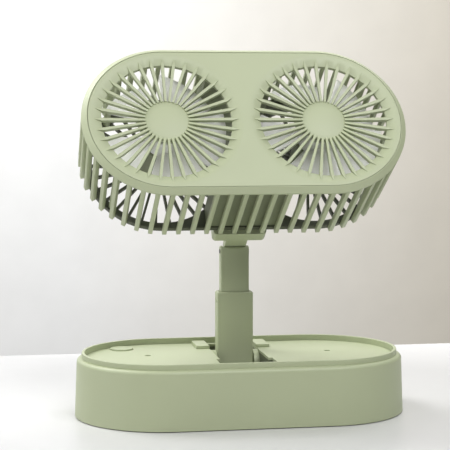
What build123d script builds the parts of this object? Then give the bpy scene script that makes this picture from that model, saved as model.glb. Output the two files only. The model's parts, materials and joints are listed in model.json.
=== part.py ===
from build123d import *
import math
import os

# Twin desk fan: an oval head with two fans, on a telescoping pole that folds into a slot in an oval base.
# Millimetres. X runs along the oval, -Y is the front and +Z is up, from the base's centre on the floor.
# The head is modelled flat, face up, in its own frame: x along the oval, y up the face, z out of the face.

# ---- Base -------------------------------------------------------------------------------------------------
BASE_LENGTH = 240.0
BASE_WIDTH = 129.0
FOOT_PROUD = 0.6
LEDGE_TOP = 41.8
WALL_DRAFT = 1.6
SHOULDER_RADIUS = 2.8
HOUSING_WALL = 4.2
LIP_SETBACK = 0.67
LIP_RISE = 4.0
LIP_WALL = 2.2
LIP_EDGE_RADIUS = 0.5
DECK_DROP = 4.3
DECK_THICKNESS = 2.0
DECK_GAP = 0.1
SUPPORT_RIM_WIDTH = 1.53
SUPPORT_RIM_DEPTH = 3.0
COVER_RECESS = 0.3
COVER_THICKNESS = 2.4
COVER_GAP = 0.2
FOOT_RADIUS = 7.0
FOOT_THICKNESS = 1.6
FOOT_END_INSET = 40.0
FOOT_SIDE_INSET = 29.5

# ---- Slot and hinge in the base ---------------------------------------------------------------------------
CHEEK_THICKNESS = 4.0
SLOT_REAR_INSET = 13.5
WIDE_STEP = 2.6
WIDE_REAR = -16.5
WIDE_SHELF = 32.4
WELL_WALL = 1.6
WELL_FLOOR_TOP = 5.0
WELL_FLOOR = 1.4
WELL_GAP = 0.1
LIP_RELIEF = 0.8
BLOCK_LENGTH = 9.9
BLOCK_BEHIND_HINGE = 3.9
BLOCK_DEPTH = 24.6
BLOCK_RISE = 2.5
CHEEK_SIDE_GAP = 0.4
CHEEK_DEPTH = 20.0
CHEEK_DROP = 0.5
HINGE_PIN_RADIUS = 2.0
HINGE_PIN_PROUD = 0.5

# ---- Pole -------------------------------------------------------------------------------------------------
HINGE_AHEAD_OF_SLOT_END = 25.5
POLE_FLOOR_GAP = 0.85
OUTER_HALF_WIDTH = 13.3
OUTER_SIDE_HALF_DEPTH = 6.0
OUTER_BULGE = 2.6
OUTER_TOP = 84.9
OUTER_RIM_BEVEL = 0.8
BORE_WALL_X = 1.8
BORE_SIDE_WALL = 1.1
BORE_BULGE = 2.3
POLE_SECTION_RADIUS = 1.2
BUSH_WALL_X = 0.7
BUSH_SIDE_WALL = 0.4
INNER_BULGE = 2.2
INNER_WALL = 1.6
INNER_BOTTOM = 53.0
SLIDE_GAP = 0.3
BUSH_LENGTH = 8.0
TRAVEL = 22.55
FOOT_SOLID_MARGIN = 2.0
HINGE_BUSH_WALL = 0.6
RUNNING_GAP = 0.05
PIN_HEIGHT = 114.5
TILT_PIN_RADIUS = 1.5
TILT_PIN_PROUD = 0.5
EAR_RADIUS = 4.2
TAB_RISE = 4.5
TAB_CORNER = 4.0
ARM_GAP = 0.5
BACK_CUT = 6.7
DETENT_RADIUS = 1.3
DETENT_BELOW_RIM = 7.3
WASHER_RADIUS = 3.6
WASHER_GAP = 0.1

# ---- Head -------------------------------------------------------------------------------------------------
TILT = 33.4
ARM_LENGTH = 19.2
PIN_BELOW_REAR = 0.3
DISH_SEPARATION = 3.6
FACE_HALF_WIDTH = 55.4
FACE_THICKNESS = 2.2
FACE_GAP = 0.35
RIM_WIDTH = 4.4
RIM_EDGE_X = 3.6
RIM_EDGE_DEPTH = 3.4
BAND_DEPTH = 4.8
SEAT_WIDTH = 1.15
FIN_END_DEPTH = 62.85
FIN_LEAN = 1.35
FIN_WIDTH = 3.2
FIN_THICKNESS = 3.6
FIN_STRAIGHT_STEPS = 11
FIN_ARC_STEPS = 18
FACE_BORDER = 1.2
DISH_WIDTH = 8.3
DISH_DEPTH = 3.0
DISH_LIP = 2.4
GRILLE_HUB_RADIUS = 16.2
GRILLE_HUB_DEPTH = 2.0
GRILLE_HUB_DOME = 1.4
GRILLE_THICKNESS = 3.0
RIB_COUNT = 36
RIB_TIP_INSET = 3.2
RIB_WIDTH_IN = 1.6
RIB_WIDTH_OUT = 2.2
REAR_GAP = 0.15
REAR_RING_HEIGHT = 6.2
REAR_BEHIND_FINS = 3.35
REAR_PLATE = 3.0
REAR_BEVEL = 2.2
REAR_RING_WALL = 1.2
REAR_BORDER = 6.2
REAR_SPOKES = 30
REAR_SPOKE_WIDTH = 1.7
HOUSING_HALF_LENGTH = 25.0
HEAD_WALL = 1.8
POST_RADIUS = 2.6
POST_GAP = 0.3
POST_ANGLE = 45.0

# ---- Fans and motors --------------------------------------------------------------------------------------
BLADE_COUNT = 5
BLADE_GAP = 1.9
BLADE_THICKNESS = 1.3
BLADE_SPAN_ANGLE = 58.0
BLADE_AXIAL_ROOT = 12.0
BLADE_AXIAL_TIP = 16.0
LEFT_BLADE_ANGLE = 49.0
RIGHT_BLADE_ANGLE = 24.0
ROTOR_HUB_RADIUS = 15.0
ROTOR_FRONT = 11.0
ROTOR_HEIGHT = 17.0
ROTOR_WALL = 1.6
MOTOR_RADIUS = 12.5
MOTOR_GAP = 0.6
MOTOR_LENGTH = 26.0
MOUNT_WALL = 2.0
CUP_GRIP = 8.0
SHAFT_RADIUS = 1.2
CAP_RADIUS = 5.0
CAP_HEIGHT = 1.2

# ---- Bracket between the head and the pole ----------------------------------------------------------------
BOSS_SIDE_GAP = 0.8
BOSS_BELOW_PIN = 2.0
BOSS_HEIGHT = 35.0
BOSS_THICKNESS = 10.8
BOSS_CORNER = 3.0
ARM_SIDE_STEP = 0.2
ARM_LOW = 1.0
ARM_HIGH = 6.2
ARM_CORNER = 1.5
KNUCKLE_RADIUS = 3.6
KNUCKLE_GAP = 0.4
WASHER_THICKNESS = 0.6

# ---- Fasteners, switch, cells and boards ------------------------------------------------------------------
BUTTON_END_INSET = 37.5
BUTTON_SIDE_INSET = 26.5
BUTTON_RADIUS = 8.4
BUTTON_PROUD = 1.0
BUTTON_THICKNESS = 2.4
BUTTON_GAP = 0.35
BUTTON_GUIDE_WALL = 1.2
BUTTON_STEM_RADIUS = 3.0
BUTTON_STEM_LENGTH = 5.0
BUTTON_TRAVEL = 1.2
SWITCH_SIDE = 6.0
SWITCH_HEIGHT = 4.0
SCREW_RADIUS = 1.2
SCREW_HEAD_RADIUS = 2.3
SCREW_HEAD_HEIGHT = 1.4
SCREW_LENGTH = 10.0
SCREW_POST_RADIUS = 3.4
BRACKET_SCREW_X = 9.0
BASE_SCREW_X = 45.0
DECK_SCREW_INSET = 53.4
DECK_SCREW_Y = 7.0
DECK_SCREW_SINK = 6.0
CELL_RADIUS = 9.2
CELL_LENGTH = 65.0
CELL_X = -58.5
CELL_FRONT_INSET = 30.0
CELL_PITCH = 20.0
TRAY_FLOOR = 1.2
TRAY_MARGIN = 1.5
TRAY_END_HEIGHT = 10.0
BOARD_LENGTH_X = 34.0
BOARD_LENGTH_Y = 78.0
BOARD_REAR_GAP = 7.3
BOARD_X = 44.5
BOARD_THICKNESS = 1.6
BOARD_STANDOFF = 6.0
SOCKET_X = 34.0
SOCKET_WIDTH = 9.0
SOCKET_HEIGHT = 3.2
SOCKET_DEPTH = 8.0
SOCKET_WALL = 0.5

# ---- Heights and places that follow from the sizes above --------------------------------------------------
SHOULDER_INSET = WALL_DRAFT + SHOULDER_RADIUS
LIP_INSET = SHOULDER_INSET + LIP_SETBACK
LIP_TOP = LEDGE_TOP + LIP_RISE
RECESS_INSET = LIP_INSET + LIP_WALL
DECK_TOP = LIP_TOP - DECK_DROP
DECK_BOTTOM = DECK_TOP - DECK_THICKNESS
RIM_BOTTOM = DECK_BOTTOM - SUPPORT_RIM_DEPTH
RIM_INSET = RECESS_INSET + SUPPORT_RIM_WIDTH
COVER_BOTTOM = FOOT_PROUD + COVER_RECESS
COVER_TOP = COVER_BOTTOM + COVER_THICKNESS
CAVITY_FRONT = HOUSING_WALL - BASE_WIDTH / 2
FOOT_X = BASE_LENGTH / 2 - FOOT_END_INSET
FOOT_Y = BASE_WIDTH / 2 - FOOT_SIDE_INSET
SLOT_REAR = BASE_WIDTH / 2 - SLOT_REAR_INSET
POLE_Y = SLOT_REAR - HINGE_AHEAD_OF_SLOT_END
BLOCK_FRONT = POLE_Y + BLOCK_BEHIND_HINGE
CHEEK_IN = OUTER_HALF_WIDTH + CHEEK_SIDE_GAP
SLOT_HALF_WIDTH = CHEEK_IN + CHEEK_THICKNESS
WIDE_HALF_WIDTH = SLOT_HALF_WIDTH + WIDE_STEP
WELL_TOP = DECK_BOTTOM - WELL_GAP
POLE_FOOT_RADIUS = OUTER_SIDE_HALF_DEPTH + OUTER_BULGE
HINGE_Z = WELL_FLOOR_TOP + POLE_FLOOR_GAP + POLE_FOOT_RADIUS
FOOT_SOLID_TOP = INNER_BOTTOM - TRAVEL - FOOT_SOLID_MARGIN
DETENT_HEIGHT = OUTER_TOP - DETENT_BELOW_RIM
INNER_HALF_WIDTH = OUTER_HALF_WIDTH - BORE_WALL_X - BUSH_WALL_X - SLIDE_GAP
INNER_SIDE_HALF_DEPTH = OUTER_SIDE_HALF_DEPTH - BORE_SIDE_WALL - BUSH_SIDE_WALL - SLIDE_GAP
INNER_HALF_DEPTH = INNER_SIDE_HALF_DEPTH + INNER_BULGE
KNUCKLE_HALF_WIDTH = INNER_HALF_WIDTH - INNER_WALL - WASHER_THICKNESS - WASHER_GAP
ARM_HALF_WIDTH = KNUCKLE_HALF_WIDTH - ARM_SIDE_STEP
BUTTON_X = BUTTON_END_INSET - BASE_LENGTH / 2
BUTTON_Y = BASE_WIDTH / 2 - BUTTON_SIDE_INSET
DECK_SCREW_X = BASE_LENGTH / 2 - DECK_SCREW_INSET
FRONT_CELL_Y = CELL_FRONT_INSET - BASE_WIDTH / 2
CELL_YS = (FRONT_CELL_Y + CELL_PITCH, FRONT_CELL_Y)
BOARD_Y = BASE_WIDTH / 2 - HOUSING_WALL - BOARD_REAR_GAP - BOARD_LENGTH_Y / 2
DISH_RADIUS = FACE_HALF_WIDTH - FACE_BORDER
OPENING_RADIUS = DISH_RADIUS - DISH_WIDTH
RIB_TIP_RADIUS = DISH_RADIUS - RIB_TIP_INSET
RIB_TOP_DEPTH = DISH_DEPTH * RIB_TIP_INSET / DISH_WIDTH
HUB_X = DISH_RADIUS + DISH_SEPARATION / 2
HUB_SPACING = 2 * HUB_X
FIN_PITCH = HUB_SPACING / FIN_STRAIGHT_STEPS
RIM_HALF_WIDTH = FACE_HALF_WIDTH + RIM_WIDTH
REAR_HALF_WIDTH = RIM_HALF_WIDTH - FIN_LEAN - FIN_THICKNESS - REAR_GAP
REAR_BACK_DEPTH = FIN_END_DEPTH + REAR_BEHIND_FINS
REAR_RING_DEPTH = REAR_BACK_DEPTH - REAR_RING_HEIGHT
REAR_PLATE_DEPTH = REAR_BACK_DEPTH - REAR_PLATE
REAR_OPENING_RADIUS = REAR_HALF_WIDTH - REAR_BORDER
HOUSING_HALF_HEIGHT = REAR_HALF_WIDTH - REAR_RING_WALL
POST_CIRCLE = HOUSING_HALF_HEIGHT - POST_RADIUS - POST_GAP
BLADE_TIP_RADIUS = OPENING_RADIUS - BLADE_GAP
MOTOR_FRONT = ROTOR_FRONT + ROTOR_WALL + MOTOR_GAP
MOTOR_BACK = MOTOR_FRONT + MOTOR_LENGTH
BOSS_HALF_WIDTH = WIDE_HALF_WIDTH - BOSS_SIDE_GAP
BOSS_BACK_DEPTH = REAR_BACK_DEPTH + BOSS_THICKNESS
PIN_DEPTH = BOSS_BACK_DEPTH + ARM_LENGTH
PIN_DROP = REAR_HALF_WIDTH + PIN_BELOW_REAR
BOSS_LOW = -PIN_DROP - BOSS_BELOW_PIN
BOSS_HIGH = BOSS_LOW + BOSS_HEIGHT
TILT_RADIANS = math.radians(TILT)
HEAD_Y = POLE_Y - PIN_DEPTH * math.cos(TILT_RADIANS) + PIN_DROP * math.sin(TILT_RADIANS)
HEAD_Z = PIN_HEIGHT + PIN_DEPTH * math.sin(TILT_RADIANS) + PIN_DROP * math.cos(TILT_RADIANS)
HEAD_NORMAL = (0, -math.cos(TILT_RADIANS), math.sin(TILT_RADIANS))
HEAD = Plane(origin=(0, HEAD_Y, HEAD_Z), x_dir=(1, 0, 0), z_dir=HEAD_NORMAL).location
SIDES = (("left", -1), ("right", 1))


# ---- Shape helpers ----------------------------------------------------------------------------------------
def oval(length, width, inset=0.0):
    """Plan of an oval with straight sides, drawn in by an inset all round."""
    return SlotOverall(length - 2 * inset, width - 2 * inset)


def base_oval(inset):
    return oval(BASE_LENGTH, BASE_WIDTH, inset)


def head_oval(half_width):
    return SlotOverall(HUB_SPACING + 2 * half_width, 2 * half_width)


def slab(sketch, low, high):
    """A plan sketch made solid between two heights."""
    return extrude(Pos(0, 0, low) * sketch, high - low)


def depth_slab(sketch, near, far):
    """A head plan made solid between two depths behind the face."""
    return slab(sketch, -far, -near)


def block(x0, x1, y0, y1, z0, z1):
    centre = Pos((x0 + x1) / 2, (y0 + y1) / 2, (z0 + z1) / 2)
    return centre * Box(x1 - x0, y1 - y0, z1 - z0)


def post(x, y, radius, low, high):
    return Pos(x, y, (low + high) / 2) * Cylinder(radius, high - low)


def depth_post(x, y, radius, near, far):
    return post(x, y, radius, -far, -near)


def rod_x(radius, x0, x1, y, z):
    return Pos((x0 + x1) / 2, y, z) * Rot(0, 90, 0) * Cylinder(radius, x1 - x0)


def side_profile(points, half_width):
    """A (y, z) outline made solid across the width."""
    outline = [(0, y, z) for y, z in points]
    face = make_face(Polyline(*outline, close=True))
    return extrude(face, half_width, dir=(1, 0, 0), both=True)


def pole_section(half_width, side_half_depth, bulge):
    """Plan of a pole tube: flat sides, with the front and back bowed outward."""
    depth = side_half_depth
    front = ThreePointArc((-half_width, -depth), (0, -depth - bulge), (half_width, -depth))
    right = Line((half_width, -depth), (half_width, depth))
    back = ThreePointArc((half_width, depth), (0, depth + bulge), (-half_width, depth))
    left = Line((-half_width, depth), (-half_width, -depth))
    section = make_face([front, right, back, left])
    return Pos(0, POLE_Y) * fillet(section.vertices(), POLE_SECTION_RADIUS)


def screw(x, y, top, length):
    """A plain screw with its head's top at the given height and its shank below."""
    head = post(x, y, SCREW_HEAD_RADIUS, top - SCREW_HEAD_HEIGHT, top)
    shank = post(x, y, SCREW_RADIUS, top - SCREW_HEAD_HEIGHT - length, top - SCREW_HEAD_HEIGHT)
    return head + shank


def write(name, shape, place=Location()):
    export_step(place * shape, f"parts/{name}.step")


# ---- Base pieces ------------------------------------------------------------------------------------------
def base_screw_places():
    inset = HOUSING_WALL + SCREW_POST_RADIUS - COVER_GAP
    side_y = BASE_WIDTH / 2 - inset
    places = [(x, y) for x in (-BASE_SCREW_X, BASE_SCREW_X) for y in (-side_y, side_y)]
    end_x = BASE_LENGTH / 2 - inset
    return places + [(-end_x, 0), (end_x, 0)]


def slot_plan(grow=0.0):
    """Plan of the slot: a narrow channel behind a wider front part, grown by a wall or a gap."""
    half = SLOT_HALF_WIDTH + grow
    wide = WIDE_HALF_WIDTH + grow
    front = CAVITY_FRONT
    rear = SLOT_REAR + grow
    narrow = Pos(0, (front + rear) / 2) * Rectangle(2 * half, rear - front)
    broad_rear = WIDE_REAR + grow
    broad = Pos(0, (front + broad_rear) / 2) * Rectangle(2 * wide, broad_rear - front)
    return narrow, broad


def base_housing():
    height = LEDGE_TOP - FOOT_PROUD
    draft = math.degrees(math.atan(WALL_DRAFT / height))
    shell = extrude(Pos(0, 0, FOOT_PROUD) * base_oval(0), height, taper=draft)
    top_edges = shell.edges().group_by(Axis.Z)[-1]
    shell = fillet(top_edges, SHOULDER_RADIUS)
    shell += slab(base_oval(LIP_INSET), LEDGE_TOP - 1, LIP_TOP)
    shell -= slab(base_oval(RECESS_INSET), DECK_BOTTOM, LIP_TOP)
    shell = fillet(shell.edges().group_by(Axis.Z)[-1], LIP_EDGE_RADIUS)
    shell -= slab(base_oval(RIM_INSET), RIM_BOTTOM, DECK_BOTTOM)
    shell -= slab(base_oval(HOUSING_WALL), FOOT_PROUD, RIM_BOTTOM)
    # The front of the rim and lip give way to the slot.
    relief = WIDE_HALF_WIDTH + WELL_WALL + WELL_GAP
    shell -= block(-relief, relief, CAVITY_FRONT, 0, RIM_BOTTOM, DECK_BOTTOM)
    lip_front = RECESS_INSET - BASE_WIDTH / 2 - LIP_RELIEF
    shell -= block(-WIDE_HALF_WIDTH, WIDE_HALF_WIDTH, lip_front, 0, DECK_BOTTOM, LIP_TOP)
    for x, y in base_screw_places():
        shell += post(x, y, SCREW_POST_RADIUS, COVER_TOP, RIM_BOTTOM)
        shell -= post(x, y, SCREW_RADIUS, COVER_TOP, COVER_TOP + SCREW_LENGTH)
    return shell - socket_port()


def socket_height():
    return COVER_TOP + BOARD_STANDOFF + BOARD_THICKNESS + SOCKET_HEIGHT / 2


def socket_port():
    """The socket's opening through the rear wall."""
    plan = SlotOverall(SOCKET_WIDTH + 2 * DECK_GAP, SOCKET_HEIGHT + 2 * DECK_GAP)
    wall = extrude(Rot(90, 0, 0) * plan, BASE_WIDTH / 2, both=True)
    behind = block(0, BASE_LENGTH, 0, BASE_WIDTH, 0, LIP_TOP)
    return Pos(SOCKET_X, 0, socket_height()) * wall & behind


def deck_plate():
    plate = slab(base_oval(RECESS_INSET + DECK_GAP), DECK_BOTTOM, DECK_TOP)
    boss_low = DECK_BOTTOM - DECK_SCREW_SINK - SCREW_HEAD_HEIGHT
    for side in (-1, 1):
        x = side * DECK_SCREW_X
        plate += post(x, DECK_SCREW_Y, SCREW_POST_RADIUS, boss_low, DECK_BOTTOM)
        plate -= post(x, DECK_SCREW_Y, SCREW_HEAD_RADIUS, deck_screw_seat(), DECK_TOP)
        plate -= post(x, DECK_SCREW_Y, SCREW_RADIUS, boss_low, deck_screw_seat())
    narrow, broad = slot_plan()
    plate -= slab(narrow, DECK_BOTTOM, DECK_TOP)
    plate -= slab(broad, DECK_BOTTOM, DECK_TOP)
    guide_low = DECK_BOTTOM - BUTTON_THICKNESS
    bore = BUTTON_RADIUS + BUTTON_GAP
    guide = post(BUTTON_X, BUTTON_Y, bore + BUTTON_GUIDE_WALL, guide_low, DECK_BOTTOM)
    plate += guide & slab(base_oval(RIM_INSET + DECK_GAP), guide_low, DECK_BOTTOM)
    plate -= post(BUTTON_X, BUTTON_Y, bore, guide_low, DECK_TOP)
    return plate


def deck_screw_seat():
    return DECK_BOTTOM - DECK_SCREW_SINK


def deck_screws():
    top = deck_screw_seat() + SCREW_HEAD_HEIGHT
    return Compound([screw(side * DECK_SCREW_X, DECK_SCREW_Y, top, SCREW_LENGTH) for side in (-1, 1)])


def rest_block(side):
    """A raised block beside the slot that the folded head comes to rest above."""
    inner = side * SLOT_HALF_WIDTH
    outer = side * (SLOT_HALF_WIDTH + BLOCK_LENGTH)
    low, high = sorted((inner, outer))
    piece = block(low, high, BLOCK_FRONT, BLOCK_FRONT + BLOCK_DEPTH, DECK_TOP, DECK_TOP + BLOCK_RISE)
    return chamfer(piece.edges().group_by(Axis.Z)[-1], DECK_GAP * 4)


def pole_well():
    """The trough below the deck that takes the folded pole."""
    front = CAVITY_FRONT + WELL_GAP
    narrow, broad = slot_plan()
    narrow_out, broad_out = slot_plan(WELL_WALL)
    floor_low = WELL_FLOOR_TOP - WELL_FLOOR
    well = slab(narrow_out, floor_low, WELL_TOP)
    well += slab(broad_out, WIDE_SHELF - WELL_FLOOR, WELL_TOP)
    well -= slab(narrow, WELL_FLOOR_TOP, WELL_TOP)
    well -= slab(broad, WIDE_SHELF, WELL_TOP)
    outside = WIDE_HALF_WIDTH + WELL_WALL
    well -= block(-outside, outside, front - SHOULDER_RADIUS, front, floor_low, WELL_TOP)
    return well - rod_x(HINGE_PIN_RADIUS, -outside, outside, POLE_Y, HINGE_Z)


def hinge_cheek(side):
    """A round-topped cheek that carries one end of the hinge pin."""
    low, high = sorted((side * CHEEK_IN, side * SLOT_HALF_WIDTH))
    radius = CHEEK_DEPTH / 2
    top = DECK_TOP - CHEEK_DROP
    cheek = block(low, high, POLE_Y - radius, POLE_Y + radius, WELL_FLOOR_TOP, top - radius)
    cheek += rod_x(radius, low, high, POLE_Y, top - radius)
    return cheek - rod_x(HINGE_PIN_RADIUS, low, high, POLE_Y, HINGE_Z)


def hinge_pin():
    end = SLOT_HALF_WIDTH + WELL_WALL + HINGE_PIN_PROUD
    return rod_x(HINGE_PIN_RADIUS, -end, end, POLE_Y, HINGE_Z)


def foot_places():
    return [(x, y) for x in (-FOOT_X, FOOT_X) for y in (-FOOT_Y, FOOT_Y)]


def bottom_cover():
    cover = slab(base_oval(HOUSING_WALL + COVER_GAP), COVER_BOTTOM, COVER_TOP)
    for x, y in foot_places():
        cover -= post(x, y, FOOT_RADIUS, COVER_BOTTOM, FOOT_THICKNESS)
    for x, y in base_screw_places():
        cover -= post(x, y, SCREW_HEAD_RADIUS, COVER_BOTTOM, COVER_BOTTOM + SCREW_HEAD_HEIGHT)
        cover -= post(x, y, SCREW_RADIUS, COVER_BOTTOM, COVER_TOP)
    post_top = DECK_BOTTOM - DECK_SCREW_SINK - SCREW_HEAD_HEIGHT
    for side in (-1, 1):
        x = side * DECK_SCREW_X
        cover += post(x, DECK_SCREW_Y, SCREW_POST_RADIUS, COVER_TOP, post_top)
        cover -= post(x, DECK_SCREW_Y, SCREW_RADIUS, post_top - SCREW_LENGTH, post_top)
    for x, y in board_corners():
        cover += post(x, y, SCREW_RADIUS * 2, COVER_TOP, COVER_TOP + BOARD_STANDOFF)
    cover += post(BUTTON_X, BUTTON_Y, SCREW_POST_RADIUS, COVER_TOP, switch_bottom())
    return cover


def base_screws():
    places = base_screw_places()
    upright = COVER_BOTTOM + SCREW_HEAD_HEIGHT
    screws = []
    for x, y in places:
        head = post(x, y, SCREW_HEAD_RADIUS, COVER_BOTTOM, upright)
        shank = post(x, y, SCREW_RADIUS, upright, COVER_TOP + SCREW_LENGTH)
        screws.append(head + shank)
    return Compound(screws)


def foot(x, y):
    return post(x, y, FOOT_RADIUS, 0, FOOT_THICKNESS)


def battery_cell(y):
    height = COVER_TOP + TRAY_FLOOR + CELL_RADIUS
    return rod_x(CELL_RADIUS, CELL_X - CELL_LENGTH / 2, CELL_X + CELL_LENGTH / 2, y, height)


def battery_tray():
    x0 = CELL_X - CELL_LENGTH / 2
    x1 = CELL_X + CELL_LENGTH / 2
    y0 = min(CELL_YS) - CELL_RADIUS
    y1 = max(CELL_YS) + CELL_RADIUS
    tray = block(x0 - TRAY_MARGIN, x1 + TRAY_MARGIN, y0, y1, COVER_TOP, COVER_TOP + TRAY_FLOOR)
    for low, high in ((x0 - TRAY_MARGIN, x0), (x1, x1 + TRAY_MARGIN)):
        tray += block(low, high, y0, y1, COVER_TOP, COVER_TOP + TRAY_END_HEIGHT)
    return tray


def board_corners():
    half_x = BOARD_LENGTH_X / 2 - SCREW_HEAD_RADIUS
    half_y = BOARD_LENGTH_Y / 2 - SCREW_HEAD_RADIUS
    return [(BOARD_X + i * half_x, BOARD_Y + j * half_y) for i in (-1, 1) for j in (-1, 1)]


def control_board():
    low = COVER_TOP + BOARD_STANDOFF
    top = low + BOARD_THICKNESS
    half_x = BOARD_LENGTH_X / 2
    half_y = BOARD_LENGTH_Y / 2
    board = block(BOARD_X - half_x, BOARD_X + half_x, BOARD_Y - half_y, BOARD_Y + half_y, low, top)
    chip = CELL_RADIUS
    board += block(BOARD_X - chip / 2, BOARD_X + chip / 2, -chip / 2, chip / 2, top, top + BOARD_THICKNESS)
    for offset in (-2, -1, 1, 2):
        y = BOARD_Y + offset * half_y / 3
        board += post(BOARD_X - half_x / 2, y, SCREW_POST_RADIUS, top, top + CELL_RADIUS)
    return board


def usb_socket():
    """The charging socket: a thin shell with a tongue, open towards the rear."""
    width = SOCKET_WIDTH
    rear = BASE_WIDTH / 2 - HOUSING_WALL
    shell = extrude(Rot(90, 0, 0) * SlotOverall(width, SOCKET_HEIGHT), SOCKET_DEPTH)
    hollow = SlotOverall(width - 2 * SOCKET_WALL, SOCKET_HEIGHT - 2 * SOCKET_WALL)
    shell -= extrude(Rot(90, 0, 0) * hollow, SOCKET_DEPTH - SOCKET_WALL)
    tongue = block(-width / 3, width / 3, -SOCKET_DEPTH, -SOCKET_WALL, -SOCKET_WALL / 2, SOCKET_WALL / 2)
    return Pos(SOCKET_X, rear, socket_height()) * (shell + tongue)


def button_bottom():
    return DECK_TOP + BUTTON_PROUD - BUTTON_THICKNESS


def switch_bottom():
    return button_bottom() - BUTTON_STEM_LENGTH - BUTTON_TRAVEL - RUNNING_GAP - SWITCH_HEIGHT


def power_switch():
    half = SWITCH_SIDE / 2
    low = switch_bottom()
    return block(BUTTON_X - half, BUTTON_X + half, BUTTON_Y - half, BUTTON_Y + half, low, low + SWITCH_HEIGHT)


def power_button():
    low = button_bottom()
    disc = post(BUTTON_X, BUTTON_Y, BUTTON_RADIUS, low, low + BUTTON_THICKNESS)
    disc = fillet(disc.edges().group_by(Axis.Z)[-1], BUTTON_GAP)
    return disc + post(BUTTON_X, BUTTON_Y, BUTTON_STEM_RADIUS, low - BUTTON_STEM_LENGTH, low)


# ---- Pole pieces ------------------------------------------------------------------------------------------
def bore_section(gap=0.0):
    """Plan of the outer tube's bore, or of a piece that fits it with a gap."""
    half_width = OUTER_HALF_WIDTH - BORE_WALL_X - gap
    side = OUTER_SIDE_HALF_DEPTH - BORE_SIDE_WALL - gap
    return pole_section(half_width, side, BORE_BULGE)


def inner_section(gap=0.0):
    return pole_section(INNER_HALF_WIDTH + gap, INNER_SIDE_HALF_DEPTH + gap, INNER_BULGE)


def outer_tube():
    section = pole_section(OUTER_HALF_WIDTH, OUTER_SIDE_HALF_DEPTH, OUTER_BULGE)
    tube = slab(section, HINGE_Z, OUTER_TOP)
    tube = chamfer(tube.edges().group_by(Axis.Z)[-1], OUTER_RIM_BEVEL)
    tube += rod_x(POLE_FOOT_RADIUS, -OUTER_HALF_WIDTH, OUTER_HALF_WIDTH, POLE_Y, HINGE_Z)
    tube -= slab(bore_section(), FOOT_SOLID_TOP, OUTER_TOP)
    bush_radius = HINGE_PIN_RADIUS + RUNNING_GAP + HINGE_BUSH_WALL
    tube -= rod_x(bush_radius, -OUTER_HALF_WIDTH, OUTER_HALF_WIDTH, POLE_Y, HINGE_Z)
    return tube - rod_x(DETENT_RADIUS, -OUTER_HALF_WIDTH, 0, POLE_Y, DETENT_HEIGHT)


def guide_bush():
    top = OUTER_TOP - OUTER_RIM_BEVEL
    low = top - BUSH_LENGTH
    bush = slab(bore_section(), low, top) - slab(inner_section(SLIDE_GAP), low, top)
    return bush - rod_x(DETENT_RADIUS, -OUTER_HALF_WIDTH, 0, POLE_Y, DETENT_HEIGHT)


def hinge_bush():
    bore = HINGE_PIN_RADIUS + RUNNING_GAP
    sleeve = rod_x(bore + HINGE_BUSH_WALL, -OUTER_HALF_WIDTH, OUTER_HALF_WIDTH, POLE_Y, HINGE_Z)
    return sleeve - rod_x(bore, -OUTER_HALF_WIDTH, OUTER_HALF_WIDTH, POLE_Y, HINGE_Z)


def arm_edge(offset, along):
    """A (y, z) point beside the neck arm: offset up the face from the pin, and along the head's normal."""
    y = POLE_Y - along * math.cos(TILT_RADIANS) + offset * math.sin(TILT_RADIANS)
    z = PIN_HEIGHT + along * math.sin(TILT_RADIANS) + offset * math.cos(TILT_RADIANS)
    return y, z


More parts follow.
